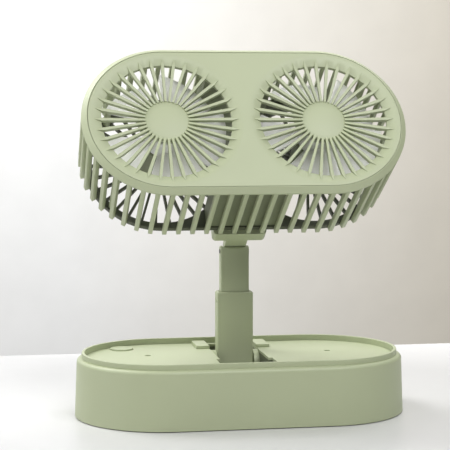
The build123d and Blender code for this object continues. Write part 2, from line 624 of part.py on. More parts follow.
def inner_tube():
    """The inner tube: two round ears for the pin, an arched front tab and a back wall cut low for the arm."""
    front = POLE_Y - INNER_HALF_DEPTH
    back = POLE_Y + INNER_HALF_DEPTH
    tab_top = PIN_HEIGHT + TAB_RISE
    body = slab(inner_section(), INNER_BOTTOM, tab_top)
    hollow_half = INNER_HALF_WIDTH - INNER_WALL
    hollow = pole_section(hollow_half, INNER_SIDE_HALF_DEPTH - INNER_WALL, INNER_BULGE)
    body -= slab(hollow, INNER_BOTTOM, tab_top)
    rear_clear = [
        (POLE_Y, tab_top),
        (back, tab_top),
        (back, PIN_HEIGHT - BACK_CUT),
        (POLE_Y + INNER_SIDE_HALF_DEPTH, PIN_HEIGHT - BACK_CUT),
        (POLE_Y + INNER_SIDE_HALF_DEPTH, PIN_HEIGHT),
        (POLE_Y, PIN_HEIGHT),
    ]
    body -= side_profile(rear_clear, INNER_HALF_WIDTH)
    body -= block(-hollow_half, hollow_half, POLE_Y, back, PIN_HEIGHT - BACK_CUT, tab_top)
    body -= rod_x(KNUCKLE_RADIUS + KNUCKLE_GAP, -hollow_half, hollow_half, POLE_Y, PIN_HEIGHT)
    # The front tab: cut back parallel to the arm above it, and arched across its width.
    low_offset = ARM_LOW - ARM_GAP
    above_arm = 2 * PIN_HEIGHT
    body -= side_profile([
        arm_edge(low_offset, 0),
        arm_edge(low_offset, PIN_DEPTH),
        (front, above_arm),
        (POLE_Y, above_arm),
    ], INNER_HALF_WIDTH)
    arch_centre = tab_top - INNER_HALF_WIDTH
    arch = Pos(0, POLE_Y, arch_centre) * Rot(90, 0, 0) * Cylinder(INNER_HALF_WIDTH, 2 * INNER_HALF_DEPTH)
    body -= block(-INNER_HALF_WIDTH, INNER_HALF_WIDTH, front, back, arch_centre, tab_top) - arch
    corner = side_profile([
        (front, tab_top - TAB_CORNER),
        (front, tab_top),
        (front + TAB_CORNER, tab_top),
        (front + TAB_CORNER, tab_top - TAB_CORNER),
    ], INNER_HALF_WIDTH)
    centre_y = front + TAB_CORNER
    rounding = rod_x(TAB_CORNER, -INNER_HALF_WIDTH, INNER_HALF_WIDTH, centre_y, tab_top - TAB_CORNER)
    body -= corner - rounding
    for side in (-1, 1):
        low, high = sorted((side * hollow_half, side * INNER_HALF_WIDTH))
        body += rod_x(EAR_RADIUS, low, high, POLE_Y, PIN_HEIGHT)
    body -= rod_x(TILT_PIN_RADIUS, -INNER_HALF_WIDTH, INNER_HALF_WIDTH, POLE_Y, PIN_HEIGHT)
    return body - rod_x(DETENT_RADIUS, -INNER_HALF_WIDTH, 0, POLE_Y, DETENT_HEIGHT)


def foot_bush():
    high = INNER_BOTTOM + BUSH_LENGTH
    return slab(bore_section(SLIDE_GAP), INNER_BOTTOM, high) - slab(inner_section(), INNER_BOTTOM, high)


def detent_ball():
    x = DETENT_RADIUS + RUNNING_GAP - INNER_HALF_WIDTH - SLIDE_GAP
    return Pos(x, POLE_Y, DETENT_HEIGHT) * Sphere(DETENT_RADIUS)


def tilt_pin():
    end = INNER_HALF_WIDTH + TILT_PIN_PROUD
    return rod_x(TILT_PIN_RADIUS, -end, end, POLE_Y, PIN_HEIGHT)


def tilt_washer(side):
    inner = KNUCKLE_HALF_WIDTH + WASHER_GAP
    outer = inner + WASHER_THICKNESS
    low, high = sorted((side * inner, side * outer))
    washer = rod_x(WASHER_RADIUS, low, high, POLE_Y, PIN_HEIGHT)
    return washer - rod_x(TILT_PIN_RADIUS, low, high, POLE_Y, PIN_HEIGHT)


# ---- Head pieces, in the head's own frame -----------------------------------------------------------------
def fin_places():
    """Each fin's centre line: the point that it stands from, and the way it faces."""
    places = []
    half_steps = FIN_STRAIGHT_STEPS / 2
    for index in range(FIN_STRAIGHT_STEPS + 1):
        x = (index - half_steps) * FIN_PITCH
        places.append((x, 90.0))
        places.append((x, -90.0))
    for index in range(1, FIN_ARC_STEPS):
        angle = 90.0 - index * 180.0 / FIN_ARC_STEPS
        places.append((HUB_X, angle))
        places.append((-HUB_X, 180.0 - angle))
    return places


def fin():
    """One fin facing +x: flat sided, and leaning in a little towards its free end."""
    inner = RIM_HALF_WIDTH - FIN_THICKNESS
    outline = [
        (inner, 0, -BAND_DEPTH),
        (RIM_HALF_WIDTH, 0, -BAND_DEPTH),
        (RIM_HALF_WIDTH - FIN_LEAN, 0, -FIN_END_DEPTH),
        (inner - FIN_LEAN, 0, -FIN_END_DEPTH),
    ]
    face = make_face(Polyline(*outline, close=True))
    return extrude(face, FIN_WIDTH / 2, dir=(0, 1, 0), both=True)


def side_fins():
    """The fins that run straight back from the rim, all round the head."""
    piece = fin()
    return Compound([Pos(x, 0, 0) * Rot(0, 0, angle) * piece for x, angle in fin_places()])


def front_frame():
    """The bevelled rim round the face, with the seat that the face plate drops into."""
    band = depth_slab(head_oval(RIM_HALF_WIDTH), 0, BAND_DEPTH)
    band = chamfer(band.edges().group_by(Axis.Z)[-1], RIM_EDGE_DEPTH, RIM_EDGE_X)
    band -= depth_slab(head_oval(FACE_HALF_WIDTH + FACE_GAP), 0, FACE_THICKNESS)
    return band - depth_slab(head_oval(FACE_HALF_WIDTH - SEAT_WIDTH), FACE_THICKNESS, BAND_DEPTH)


def hub_places():
    return [(-HUB_X, 0), (HUB_X, 0)]


def post_places():
    reach = POST_CIRCLE * math.cos(math.radians(POST_ANGLE))
    rise = POST_CIRCLE * math.sin(math.radians(POST_ANGLE))
    return [(i * (HUB_X + reach), j * rise) for i in (-1, 1) for j in (-1, 1)]


def dish():
    """A shallow cone from the face down to the round opening, with a short lip behind it."""
    outline = [
        (DISH_RADIUS, 0, 0),
        (OPENING_RADIUS, 0, -DISH_DEPTH),
        (OPENING_RADIUS, 0, -DISH_DEPTH - DISH_LIP),
        (OPENING_RADIUS + FACE_THICKNESS, 0, -DISH_DEPTH - DISH_LIP),
        (DISH_RADIUS, 0, -FACE_THICKNESS),
    ]
    return revolve(make_face(Polyline(*outline, close=True)), Axis.Z)


def face_plate():
    plate = depth_slab(head_oval(FACE_HALF_WIDTH), 0, FACE_THICKNESS)
    for x, y in post_places():
        plate += depth_post(x, y, POST_RADIUS, FACE_THICKNESS, REAR_PLATE_DEPTH)
        plate -= depth_post(x, y, SCREW_RADIUS, REAR_PLATE_DEPTH - SCREW_LENGTH, REAR_PLATE_DEPTH)
    for x, y in hub_places():
        plate -= depth_post(x, y, DISH_RADIUS, 0, FACE_THICKNESS)
        plate -= depth_post(x, y, OPENING_RADIUS, 0, DISH_DEPTH + DISH_LIP)
        plate += Pos(x, y, 0) * dish()
    return plate


def grille(x):
    """A round grille: a domed hub with straight ribs that end in points on the dish."""
    dome_edge = GRILLE_HUB_DEPTH + GRILLE_HUB_DOME
    back = dome_edge + GRILLE_THICKNESS
    dome = ThreePointArc(
        (-GRILLE_HUB_RADIUS, 0, -dome_edge),
        (0, 0, -GRILLE_HUB_DEPTH),
        (GRILLE_HUB_RADIUS, 0, -dome_edge),
    )
    half_dome = dome.trim(0.5, 1.0)
    sides = Polyline(
        (GRILLE_HUB_RADIUS, 0, -dome_edge),
        (GRILLE_HUB_RADIUS, 0, -back),
        (0, 0, -back),
        (0, 0, -GRILLE_HUB_DEPTH),
    )
    body = revolve(make_face([half_dome] + sides.edges()), Axis.Z)
    rib_root = GRILLE_HUB_RADIUS - RIB_WIDTH_IN
    rib_outline = [
        (rib_root, RIB_WIDTH_IN / 2),
        (OPENING_RADIUS, RIB_WIDTH_OUT / 2),
        (RIB_TIP_RADIUS, 0),
        (OPENING_RADIUS, -RIB_WIDTH_OUT / 2),
        (rib_root, -RIB_WIDTH_IN / 2),
    ]
    rib_plan = make_face(Polyline(*rib_outline, close=True))
    rib = depth_slab(rib_plan, RIB_TOP_DEPTH, RIB_TOP_DEPTH + GRILLE_THICKNESS)
    cone = [
        (0, 0, -RIB_TOP_DEPTH),
        (RIB_TIP_RADIUS, 0, -RIB_TOP_DEPTH),
        (OPENING_RADIUS, 0, -DISH_DEPTH),
        (OPENING_RADIUS, 0, -back),
        (0, 0, -back),
    ]
    rib &= revolve(make_face(Polyline(*cone, close=True)), Axis.Z)
    drop = GRILLE_HUB_DEPTH + GRILLE_HUB_DOME - RIB_TOP_DEPTH
    slope = math.degrees(math.atan(drop / (OPENING_RADIUS - GRILLE_HUB_RADIUS)))
    slant = Pos(OPENING_RADIUS, 0, -RIB_TOP_DEPTH) * Rot(0, -slope, 0)
    waste = Box(2 * RIB_TIP_RADIUS, RIB_TIP_RADIUS, DISH_RADIUS)
    rib -= slant * Pos(-RIB_TIP_RADIUS, 0, DISH_RADIUS / 2) * waste
    step = 360.0 / RIB_COUNT
    ribs = [Rot(0, 0, index * step) * rib for index in range(RIB_COUNT)]
    return Pos(x, 0, 0) * (body + ribs)


def rear_cover():
    """The back of the head: a ring, a solid middle, radial spokes and a disc behind each motor."""
    cover = depth_slab(head_oval(REAR_HALF_WIDTH), REAR_RING_DEPTH, REAR_BACK_DEPTH)
    cover = chamfer(cover.edges().group_by(Axis.Z)[0], REAR_BEVEL)
    inside = head_oval(REAR_HALF_WIDTH - REAR_RING_WALL)
    cover -= depth_slab(inside, REAR_RING_DEPTH, REAR_PLATE_DEPTH)
    for x, y in hub_places():
        cover -= depth_post(x, y, REAR_OPENING_RADIUS, REAR_PLATE_DEPTH, REAR_BACK_DEPTH)
        spoke_half = REAR_SPOKE_WIDTH / 2
        spoke = block(MOTOR_RADIUS, REAR_OPENING_RADIUS + spoke_half, -spoke_half, spoke_half,
                      -REAR_BACK_DEPTH, -REAR_PLATE_DEPTH)
        step = 360.0 / REAR_SPOKES
        cover += [Pos(x, y, 0) * Rot(0, 0, index * step) * spoke for index in range(REAR_SPOKES)]
        cover += depth_post(x, y, MOTOR_RADIUS + MOUNT_WALL, REAR_PLATE_DEPTH, REAR_BACK_DEPTH)
    for x, y in post_places():
        cover -= depth_post(x, y, SCREW_RADIUS, REAR_PLATE_DEPTH, REAR_BACK_DEPTH)
        cover -= depth_post(x, y, SCREW_HEAD_RADIUS, REAR_BACK_DEPTH - SCREW_HEAD_HEIGHT, REAR_BACK_DEPTH)
    for x, y in bracket_screw_places():
        cover -= depth_post(x, y, SCREW_RADIUS, REAR_PLATE_DEPTH, REAR_BACK_DEPTH)
    return cover


def centre_housing():
    """The closed compartment between the two fans, waisted to clear them."""
    def waisted(inset):
        plan = Rectangle(2 * (HOUSING_HALF_LENGTH - inset), 2 * (HOUSING_HALF_HEIGHT - inset))
        for x, y in hub_places():
            plan -= Pos(x, y) * Circle(REAR_OPENING_RADIUS + inset)
        return plan
    near = DISH_DEPTH + DISH_LIP
    shell = depth_slab(waisted(0), near, REAR_PLATE_DEPTH)
    shell -= depth_slab(waisted(HEAD_WALL), near + HEAD_WALL, REAR_PLATE_DEPTH)
    return shell


def bracket_screw_places():
    y = BOSS_HIGH - 4 * BOSS_CORNER
    return [(-BRACKET_SCREW_X, y), (BRACKET_SCREW_X, y)]


def bracket_screws():
    top = SCREW_HEAD_HEIGHT - REAR_PLATE_DEPTH
    return Compound([screw(x, y, top, SCREW_LENGTH) for x, y in bracket_screw_places()])


def head_screws():
    screws = []
    seat = REAR_BACK_DEPTH - SCREW_HEAD_HEIGHT
    for x, y in post_places():
        head = depth_post(x, y, SCREW_HEAD_RADIUS, seat, REAR_BACK_DEPTH)
        shank = depth_post(x, y, SCREW_RADIUS, REAR_PLATE_DEPTH - SCREW_LENGTH, seat)
        screws.append(head + shank)
    return Compound(screws)


def driver_board():
    half = BOARD_THICKNESS / 2
    length = HOUSING_HALF_LENGTH
    near = DISH_DEPTH + DISH_LIP + HEAD_WALL
    return block(-half, half, -length, length, -near - length, -near)


def hinge_bracket():
    """The boss on the head's back, with the neck arm that ends in a knuckle round the tilt pin."""
    plan = Pos(0, (BOSS_LOW + BOSS_HIGH) / 2) * Rectangle(2 * BOSS_HALF_WIDTH, BOSS_HIGH - BOSS_LOW)
    plan = fillet(plan.vertices(), BOSS_CORNER)
    bracket = depth_slab(plan, REAR_BACK_DEPTH, BOSS_BACK_DEPTH)
    bracket = fillet(bracket.edges().group_by(Axis.Z)[0], BOSS_CORNER / 2)
    arm_low = ARM_LOW - PIN_DROP
    arm_high = ARM_HIGH - PIN_DROP
    gusset = 2 * BOSS_CORNER
    bracket += side_profile([
        (arm_low, -REAR_BACK_DEPTH),
        (arm_low, -PIN_DEPTH),
        (arm_high - ARM_CORNER, -PIN_DEPTH),
        (arm_high, ARM_CORNER - PIN_DEPTH),
        (arm_high, -BOSS_BACK_DEPTH - gusset),
        (arm_high + gusset, -BOSS_BACK_DEPTH),
        (arm_high + gusset, -REAR_BACK_DEPTH),
    ], ARM_HALF_WIDTH)
    bracket += rod_x(KNUCKLE_RADIUS, -KNUCKLE_HALF_WIDTH, KNUCKLE_HALF_WIDTH, -PIN_DROP, -PIN_DEPTH)
    bracket -= rod_x(TILT_PIN_RADIUS + RUNNING_GAP, -BOSS_HALF_WIDTH, BOSS_HALF_WIDTH, -PIN_DROP, -PIN_DEPTH)
    pilot_end = REAR_PLATE_DEPTH + SCREW_LENGTH
    for x, y in bracket_screw_places():
        bracket -= depth_post(x, y, SCREW_RADIUS, REAR_BACK_DEPTH, pilot_end)
    return bracket


def motor_cup(x):
    """The tube that stands on the rear cover and holds a motor in its front end."""
    outer = MOTOR_RADIUS + MOUNT_WALL
    near = MOTOR_BACK - CUP_GRIP
    cup = depth_post(x, 0, outer, near, REAR_PLATE_DEPTH)
    cup -= depth_post(x, 0, MOTOR_RADIUS, near, MOTOR_BACK)
    return cup - depth_post(x, 0, MOTOR_RADIUS, MOTOR_BACK + MOUNT_WALL, REAR_PLATE_DEPTH)


def motor(x):
    can = depth_post(x, 0, MOTOR_RADIUS, MOTOR_FRONT, MOTOR_BACK)
    can -= depth_post(x, 0, SHAFT_RADIUS + RUNNING_GAP, MOTOR_FRONT, MOTOR_BACK - HEAD_WALL)
    return can


def blade():
    """One blade along +x: wide, pitched and a little twisted, trimmed round at its tip."""
    mid_depth = ROTOR_FRONT + ROTOR_HEIGHT / 2
    half_span = math.radians(BLADE_SPAN_ANGLE / 2)
    sections = []
    root_radius = ROTOR_HUB_RADIUS - ROTOR_WALL
    tip_radius = BLADE_TIP_RADIUS + ROTOR_WALL
    for radius, rise in ((root_radius, BLADE_AXIAL_ROOT), (tip_radius, BLADE_AXIAL_TIP)):
        across = 2 * radius * math.tan(half_span)
        pitch = math.degrees(math.atan2(rise, across))
        chord = math.hypot(across, rise)
        place = Plane(origin=(radius, 0, -mid_depth), x_dir=(0, 1, 0), z_dir=(1, 0, 0))
        sections.append(place * Rot(0, 0, pitch) * Rectangle(chord, BLADE_THICKNESS))
    surface = loft(sections)
    keep = depth_post(0, 0, BLADE_TIP_RADIUS, ROTOR_FRONT - ROTOR_HEIGHT, ROTOR_FRONT + 2 * ROTOR_HEIGHT)
    hollow = depth_post(0, 0, ROTOR_HUB_RADIUS - ROTOR_WALL, 0, PIN_DEPTH)
    return (surface & keep) - hollow


def rotor(x, first_angle):
    """A fan: a cup-shaped hub round the motor's nose, with the blades round it."""
    back = ROTOR_FRONT + ROTOR_HEIGHT
    hub = depth_post(0, 0, ROTOR_HUB_RADIUS, ROTOR_FRONT, back)
    hub -= depth_post(0, 0, ROTOR_HUB_RADIUS - ROTOR_WALL, ROTOR_FRONT + ROTOR_WALL, back)
    step = 360.0 / BLADE_COUNT
    piece = blade()
    fan = hub + [Rot(0, 0, first_angle + index * step) * piece for index in range(BLADE_COUNT)]
    fan -= depth_post(0, 0, SHAFT_RADIUS, ROTOR_FRONT, back)
    return Pos(x, 0, 0) * fan


def shaft(x):
    return depth_post(x, 0, SHAFT_RADIUS, ROTOR_FRONT, MOTOR_BACK - 2 * HEAD_WALL)


def hub_cap(x):
    cap = depth_post(x, 0, CAP_RADIUS, ROTOR_FRONT - CAP_HEIGHT, ROTOR_FRONT)
    return fillet(cap.edges().group_by(Axis.Z)[-1], CAP_HEIGHT / 2)


# ---- Write every piece ------------------------------------------------------------------------------------
def write_base():
    write("base_housing", base_housing())
    write("deck_plate", deck_plate())
    write("pole_well", pole_well())
    write("hinge_pin", hinge_pin())
    write("bottom_cover", bottom_cover())
    write("battery_tray", battery_tray())
    write("control_board", control_board())
    write("usb_socket", usb_socket())
    write("power_switch", power_switch())
    write("power_button", power_button())
    write("base_screws", base_screws())
    write("deck_screws", deck_screws())
    for number, (x, y) in enumerate(foot_places(), 1):
        write(f"foot_{number}", foot(x, y))
    for number, y in enumerate(CELL_YS, 1):
        write(f"battery_cell_{number}", battery_cell(y))
    for name, side in SIDES:
        write(f"rest_block_{name}", rest_block(side))
        write(f"hinge_cheek_{name}", hinge_cheek(side))


def write_pole():
    write("outer_tube", outer_tube())
    write("guide_bush", guide_bush())
    write("hinge_bush", hinge_bush())
    write("inner_tube", inner_tube())
    write("foot_bush", foot_bush())
    write("detent_ball", detent_ball())
    write("tilt_pin", tilt_pin())
    for name, side in SIDES:
        write(f"tilt_washer_{name}", tilt_washer(side))


def write_head():
    write("front_frame", front_frame(), HEAD)
    write("side_fins", side_fins(), HEAD)
    write("face_plate", face_plate(), HEAD)
    write("rear_cover", rear_cover(), HEAD)
    write("centre_housing", centre_housing(), HEAD)
    write("hinge_bracket", hinge_bracket(), HEAD)
    write("driver_board", driver_board(), HEAD)
    write("head_screws", head_screws(), HEAD)
    write("bracket_screws", bracket_screws(), HEAD)
    blade_angles = {"left": LEFT_BLADE_ANGLE, "right": RIGHT_BLADE_ANGLE}
    for name, side in SIDES:
        x = side * HUB_X
        write(f"grille_{name}", grille(x), HEAD)
        write(f"motor_{name}", motor(x), HEAD)
        write(f"motor_cup_{name}", motor_cup(x), HEAD)
        write(f"fan_{name}", rotor(x, blade_angles[name]), HEAD)
        write(f"shaft_{name}", shaft(x), HEAD)
        write(f"hub_cap_{name}", hub_cap(x), HEAD)


os.makedirs("parts", exist_ok=True)
write_base()
write_pole()
write_head()
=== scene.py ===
import json
import math
import bmesh
import bpy
from mathutils import Matrix, Vector


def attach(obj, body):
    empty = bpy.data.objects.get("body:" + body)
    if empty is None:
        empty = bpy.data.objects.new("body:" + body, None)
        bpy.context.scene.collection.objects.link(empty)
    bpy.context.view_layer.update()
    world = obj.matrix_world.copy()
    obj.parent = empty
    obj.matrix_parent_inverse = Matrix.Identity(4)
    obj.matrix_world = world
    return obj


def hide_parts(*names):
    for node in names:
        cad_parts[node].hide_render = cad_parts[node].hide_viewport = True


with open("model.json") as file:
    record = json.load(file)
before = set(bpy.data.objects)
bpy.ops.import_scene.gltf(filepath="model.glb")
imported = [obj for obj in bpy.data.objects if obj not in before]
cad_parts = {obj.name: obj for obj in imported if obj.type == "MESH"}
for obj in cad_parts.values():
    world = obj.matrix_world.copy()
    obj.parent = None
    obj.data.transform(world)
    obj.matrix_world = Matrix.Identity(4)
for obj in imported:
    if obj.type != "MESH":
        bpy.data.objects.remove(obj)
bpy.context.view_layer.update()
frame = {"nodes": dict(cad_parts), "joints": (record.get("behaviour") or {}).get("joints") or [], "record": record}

# Twin desk fan: looks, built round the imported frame. Metres, +X along the oval, -Y to the front, +Z up.
MM = 0.001


# ---- Shared shader effects --------
def new_group(name, inputs, outputs):
    group = bpy.data.node_groups.new(name, "ShaderNodeTree")
    for label, kind, value in inputs:
        socket = group.interface.new_socket(label, in_out="INPUT", socket_type=kind)
        socket.default_value = value
    for label, kind in outputs:
        group.interface.new_socket(label, in_out="OUTPUT", socket_type=kind)
    return group


def noise(tree, coords, scale, detail=2.0, rough=0.5):
    node = tree.nodes.new("ShaderNodeTexNoise")
    node.inputs["Scale"].default_value = scale
    node.inputs["Detail"].default_value = detail
    node.inputs["Roughness"].default_value = rough
    tree.links.new(coords, node.inputs["Vector"])
    return node.outputs["Fac"]


def spread(tree, value, low, high):
    node = tree.nodes.new("ShaderNodeMapRange")
    node.inputs["From Min"].default_value = 0.3
    node.inputs["From Max"].default_value = 0.7
    node.inputs["To Min"].default_value = low
    node.inputs["To Max"].default_value = high
    tree.links.new(value, node.inputs["Value"])
    return node


def moulding_group():
    """Moulded plastic: faint colour drift, a fine spark-eroded grain and a little uneven gloss."""
    group = new_group(
        "moulded_skin",
        [("Color", "NodeSocketColor", (0.5, 0.5, 0.5, 1.0)),
         ("Drift", "NodeSocketFloat", 0.03),
         ("Gloss Low", "NodeSocketFloat", 0.38),
         ("Gloss High", "NodeSocketFloat", 0.46),
         ("Grain", "NodeSocketFloat", 1400.0)],
        [("Color", "NodeSocketColor"), ("Roughness", "NodeSocketFloat"), ("Height", "NodeSocketFloat")])
    inside = group.nodes.new("NodeGroupInput")
    outside = group.nodes.new("NodeGroupOutput")
    coords = group.nodes.new("ShaderNodeTexCoord")
    cloud = noise(group, coords.outputs["Object"], 14.0, 3.0)
    swing = spread(group, cloud, -1.0, 1.0)
    amount = group.nodes.new("ShaderNodeMath")
    amount.operation = "MULTIPLY_ADD"
    amount.inputs[2].default_value = 1.0
    group.links.new(swing.outputs["Result"], amount.inputs[0])
    group.links.new(inside.outputs["Drift"], amount.inputs[1])
    tint = group.nodes.new("ShaderNodeVectorMath")
    tint.operation = "SCALE"
    group.links.new(inside.outputs["Color"], tint.inputs[0])
    group.links.new(amount.outputs["Value"], tint.inputs["Scale"])
    group.links.new(tint.outputs["Vector"], outside.inputs["Color"])
    smear = noise(group, coords.outputs["Object"], 60.0, 4.0, 0.6)
    gloss = group.nodes.new("ShaderNodeMapRange")
    group.links.new(smear, gloss.inputs["Value"])
    group.links.new(inside.outputs["Gloss Low"], gloss.inputs["To Min"])
    group.links.new(inside.outputs["Gloss High"], gloss.inputs["To Max"])
    group.links.new(gloss.outputs["Result"], outside.inputs["Roughness"])
    grain = group.nodes.new("ShaderNodeTexNoise")
    grain.inputs["Detail"].default_value = 3.0
    group.links.new(coords.outputs["Object"], grain.inputs["Vector"])
    group.links.new(inside.outputs["Grain"], grain.inputs["Scale"])
    group.links.new(grain.outputs["Fac"], outside.inputs["Height"])
    return group


MOULDED_SKIN = moulding_group()


def new_material(name, colour, metallic=0.0, coat=0.0):
    material = bpy.data.materials.new(name)
    material.use_nodes = True
    shader = material.node_tree.nodes["Principled BSDF"]
    shader.inputs["Base Color"].default_value = (*colour, 1.0)
    shader.inputs["Metallic"].default_value = metallic
    shader.inputs["Coat Weight"].default_value = coat
    return material, material.node_tree, shader


def skin(material_tree, shader, colour, drift, gloss, grain, depth):
    """Places the moulded skin in a material and joins it to the shader."""
    node = material_tree.nodes.new("ShaderNodeGroup")
    node.node_tree = MOULDED_SKIN
    node.inputs["Color"].default_value = (*colour, 1.0)
    node.inputs["Drift"].default_value = drift
    node.inputs["Gloss Low"].default_value = gloss[0]
    node.inputs["Gloss High"].default_value = gloss[1]
    node.inputs["Grain"].default_value = grain
    bump = material_tree.nodes.new("ShaderNodeBump")
    bump.inputs["Strength"].default_value = 1.0
    bump.inputs["Distance"].default_value = depth
    links = material_tree.links
    links.new(node.outputs["Height"], bump.inputs["Height"])
    links.new(bump.outputs["Normal"], shader.inputs["Normal"])
    links.new(node.outputs["Color"], shader.inputs["Base Color"])
    links.new(node.outputs["Roughness"], shader.inputs["Roughness"])
    return node


def green_plastic(name, colour, gloss=(0.40, 0.50), grain=1800.0, depth=0.000012):
    material, tree, shader = new_material(name, colour)
    skin(tree, shader, colour, 0.02, gloss, grain, depth)
    return material


def white_plastic():
    material, tree, shader = new_material("fan_white", FAN_WHITE)
    skin(tree, shader, FAN_WHITE, 0.015, (0.28, 0.36), 1500.0, 0.000006)
    return material


def dark_plastic(name, colour, gloss=(0.45, 0.6)):
    material, tree, shader = new_material(name, colour)
    skin(tree, shader, colour, 0.05, gloss, 1200.0, 0.00002)
    return material


def metal(name, colour, gloss=(0.22, 0.34)):
    material, tree, shader = new_material(name, colour, metallic=1.0)
    skin(tree, shader, colour, 0.04, gloss, 2500.0, 0.000004)
    return material


SAGE = (0.445, 0.490, 0.315)
# Painted shade: a much darker sage for the rear cover, standing in for the shadow it sits in inside the head.
SAGE_PAINTED_SHADE = (0.085, 0.094, 0.062)
# Painted shade: a darker sage for the centre housing and motor cups, standing in for the shadow behind the fins.
SAGE_INNER_PAINTED_SHADE = (0.240, 0.266, 0.170)
# Painted shade: a darker sage for the recessed pole well, standing in for the shade inside the recess.
SAGE_SLOT_PAINTED_SHADE = (0.130, 0.145, 0.092)
FAN_WHITE = (0.93, 0.93, 0.91)
MATERIALS = {
    "green_shell": green_plastic("sage_shell", SAGE),
    "white_fan": white_plastic(),
    "foot_rubber": dark_plastic("foot_rubber", (0.035, 0.035, 0.034), (0.7, 0.85)),
    "steel": metal("plated_steel", (0.60, 0.60, 0.59)),
    "bush_nylon": dark_plastic("bush_nylon", (0.62, 0.62, 0.56), (0.4, 0.5)),
    "motor_steel": metal("motor_can", (0.50, 0.50, 0.50), (0.3, 0.42)),
    # Painted shade: the cover plastic takes the darkened sage.
    "cover_plastic": green_plastic("sage_painted_shade", SAGE_PAINTED_SHADE, (0.5, 0.62), 1400.0, 0.00003),
    "board": dark_plastic("board_lacquer", (0.02, 0.10, 0.04), (0.25, 0.4)),
    "cell_wrap": dark_plastic("cell_wrap", (0.03, 0.09, 0.30), (0.2, 0.3)),
}


def dress(thing, material):
    thing.data.materials.clear()
    thing.data.materials.append(material)


SLOT_OF = {part["node"]: part["material_slot"] for part in frame["record"]["subparts"]}
for node_name, node_object in frame["nodes"].items():
    dress(node_object, MATERIALS[SLOT_OF[node_name]])
# The rear cover takes the darkened sage, a painted shade for the shadowed inside of the head.
dress(frame["nodes"]["rear_cover"], MATERIALS["cover_plastic"])
# Painted shade: the centre housing and motor cups get the darkened sage in place of the shadow behind the fins.
INNER_PAINTED_SHADE_GREEN = green_plastic("sage_inner_painted_shade", SAGE_INNER_PAINTED_SHADE, (0.5, 0.6), 1600.0, 0.00002)
for shaded in ("centre_housing", "motor_cup_left", "motor_cup_right"):
    dress(frame["nodes"][shaded], INNER_PAINTED_SHADE_GREEN)
# Painted shade: the pole well is the sage plastic darkened for the shade in the recess.
dress(frame["nodes"]["pole_well"], green_plastic("sage_slot_painted_shade", SAGE_SLOT_PAINTED_SHADE, (0.5, 0.6), 1600.0, 0.00002))
DARK_STEEL = metal("blackened_steel", (0.085, 0.085, 0.080), (0.30, 0.42))
for pin in ("tilt_pin", "detent_ball"):
    dress(frame["nodes"][pin], DARK_STEEL)


# ---- Modelling helpers --------
def start_editing(piece):
    bpy.ops.object.select_all(action="DESELECT")
    piece.select_set(True)
    bpy.context.view_layer.objects.active = piece
    bpy.ops.object.mode_set(mode="EDIT")


def stop_editing():
    bpy.ops.object.mode_set(mode="OBJECT")


def pick(piece, kind, test):
    """Selects the vertices, or the faces by their middle, that pass a test."""
    bpy.ops.mesh.select_mode(type=kind)
    bpy.ops.mesh.select_all(action="DESELECT")
    mesh = bmesh.from_edit_mesh(piece.data)
    parts = mesh.verts if kind == "VERT" else mesh.faces
    for part in parts:
        spot = part.co if kind == "VERT" else part.calc_center_median()
        part.select_set(bool(test(spot)))
    bmesh.update_edit_mesh(piece.data)


def modify(piece, kind, **settings):
    """Adds one modifier with its settings and applies it."""
    bpy.ops.object.select_all(action="DESELECT")
    piece.select_set(True)
    bpy.context.view_layer.objects.active = piece
    modifier = piece.modifiers.new(kind.title(), kind)
    for label, value in settings.items():
        setattr(modifier, label, value)
    bpy.ops.object.modifier_apply(modifier=modifier.name)


def round_edges(piece, width, segments=2, angle=60.0):
    modify(piece, "BEVEL", width=width, segments=segments, limit_method="ANGLE",
           angle_limit=math.radians(angle))


def place(piece, matrix):
    """Moves a piece by a matrix and puts that move into its mesh."""
    bpy.ops.object.select_all(action="DESELECT")
    piece.select_set(True)
    bpy.context.view_layer.objects.active = piece
    piece.matrix_world = matrix @ piece.matrix_world
    bpy.ops.object.transform_apply(location=True, rotation=True, scale=True)


def copies(piece, matrices, name):
    """One piece made of a copy of the given piece at each matrix; the given piece is used up."""
    made = []
    for matrix in matrices:
        bpy.ops.object.select_all(action="DESELECT")
        piece.select_set(True)
        bpy.context.view_layer.objects.active = piece
        bpy.ops.object.duplicate()
        twin = bpy.context.object
        place(twin, matrix)
        made.append(twin)
    bpy.data.objects.remove(piece)
    return join(made, name)


def join(pieces, name):
    bpy.ops.object.select_all(action="DESELECT")
    for piece in pieces:
        piece.select_set(True)
    bpy.context.view_layer.objects.active = pieces[0]
    bpy.ops.object.join()
    joined = bpy.context.object
    joined.name = name
    return joined


def smooth(piece, angle=35.0):
    bpy.ops.object.select_all(action="DESELECT")
    piece.select_set(True)
    bpy.context.view_layer.objects.active = piece
    bpy.ops.object.shade_smooth_by_angle(angle=math.radians(angle))


def fit_out(piece, material, body, *nodes):
    """Gives a finished piece its material, its body and the nodes that it stands for."""
    dress(piece, material)
    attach(piece, body)
    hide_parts(*nodes)


def spun(angle):
    return Matrix.Rotation(math.radians(angle), 4, "Z")


def soften(node, body, material, width, angle=30.0, segments=2):
    """A moulded copy of a node: its facets are merged and its edges are rounded."""
    bpy.ops.object.select_all(action="DESELECT")
    source = frame["nodes"][node]
    source.select_set(True)
    bpy.context.view_layer.objects.active = source
    bpy.ops.object.duplicate()
    piece = bpy.context.object
    piece.name = node + "_moulded"
    start_editing(piece)
    bpy.ops.mesh.select_all(action="SELECT")
    bpy.ops.mesh.remove_doubles(threshold=0.000002)
    bpy.ops.mesh.dissolve_limited(angle_limit=math.radians(0.4))
    stop_editing()
    round_edges(piece, width, segments, angle)
    smooth(piece)
    modify(piece, "WEIGHTED_NORMAL", keep_sharp=True)
    fit_out(piece, material, body, node)
    return piece


